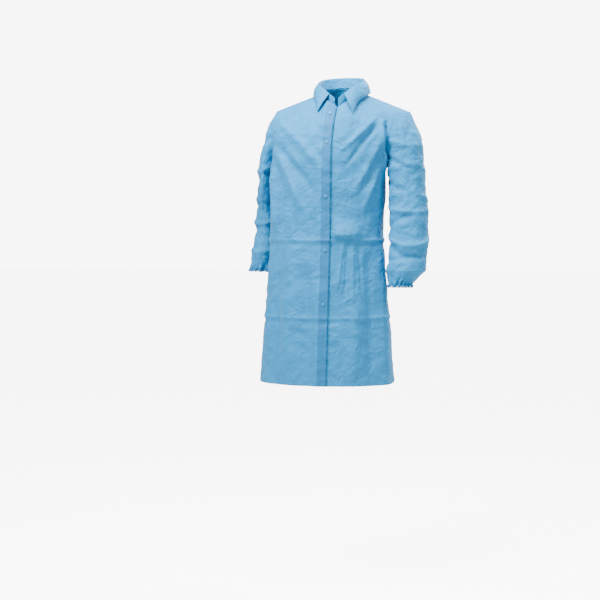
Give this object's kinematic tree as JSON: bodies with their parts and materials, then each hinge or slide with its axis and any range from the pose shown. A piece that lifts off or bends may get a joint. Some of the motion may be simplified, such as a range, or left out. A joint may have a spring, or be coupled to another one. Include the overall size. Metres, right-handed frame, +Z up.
{
  "type": "lab coat",
  "caption": "Knee-length disposable lab coat of thin non-woven cloth, with a shirt collar, a press-snap front, set-in sleeves and elastic cuffs.",
  "frame": {"origin": "midway between the two points where the shoulders meet the neck, which carry the coat on its wearer", "axes": "+Z up along the coat's length, front facing -Y, +X to the wearer's left"},
  "size_m": [0.6209, 0.3098, 0.9964],
  "materials": {
    "cloth": "matte non-woven cloth with a faint bonded pattern",
    "cloth_facing": "matte non-woven cloth, folded double",
    "elastic": "matte woven elastic",
    "snap": "satin moulded plastic"
  },
  "bodies": {
    "body": {"back_panel": "cloth", "right_front_upper": "cloth", "left_front_upper": "cloth", "right_placket_facing_upper": "cloth_facing", "left_placket_facing_upper": "cloth_facing", "collar_stand": "cloth", "collar_leaf": "cloth", "snap_1_cap": "snap", "snap_1_socket": "snap", "snap_1_stud": "snap", "snap_1_back_ring": "snap", "snap_2_cap": "snap", "snap_2_socket": "snap", "snap_2_stud": "snap", "snap_2_back_ring": "snap", "snap_3_cap": "snap", "snap_3_socket": "snap", "snap_3_stud": "snap", "snap_3_back_ring": "snap"},
    "over_front": {"right_front_skirt": "cloth", "right_placket_facing_skirt": "cloth_facing", "snap_4_cap": "snap", "snap_4_socket": "snap", "snap_5_cap": "snap", "snap_5_socket": "snap"},
    "under_front": {"left_front_skirt": "cloth", "left_placket_facing_skirt": "cloth_facing", "snap_4_stud": "snap", "snap_4_back_ring": "snap", "snap_5_stud": "snap", "snap_5_back_ring": "snap"},
    "right_arm": {"right_sleeve": "cloth", "right_cuff_casing": "cloth_facing", "right_cuff_elastic": "elastic"},
    "left_arm": {"left_sleeve": "cloth", "left_cuff_casing": "cloth_facing", "left_cuff_elastic": "elastic"}
  },
  "joints": [
    {"name": "over_front_open", "type": "hinge", "parent": "body", "child": "over_front", "pos_m": [-0.236, -0.014, -0.47], "axis": [-0.0714, 0, -0.9974], "range_deg": [0, 60]},
    {"name": "under_front_open", "type": "hinge", "parent": "body", "child": "under_front", "pos_m": [0.14, -0.014, -0.47], "axis": [-0.0714, 0, 0.9974], "range_deg": [0, 18]},
    {"name": "right_sleeve_lift", "type": "hinge", "parent": "body", "child": "right_arm", "pos_m": [-0.222, 0.012, -0.057], "axis": [0, 1, 0], "range_deg": [0, 40]},
    {"name": "left_sleeve_lift", "type": "hinge", "parent": "body", "child": "left_arm", "pos_m": [0.222, 0.012, -0.068], "axis": [0, -1, 0], "range_deg": [0, 40]}
  ],
  "couplings": [
    {"joint": "under_front_open", "follows": "over_front_open", "ratio": 0.3}
  ]
}
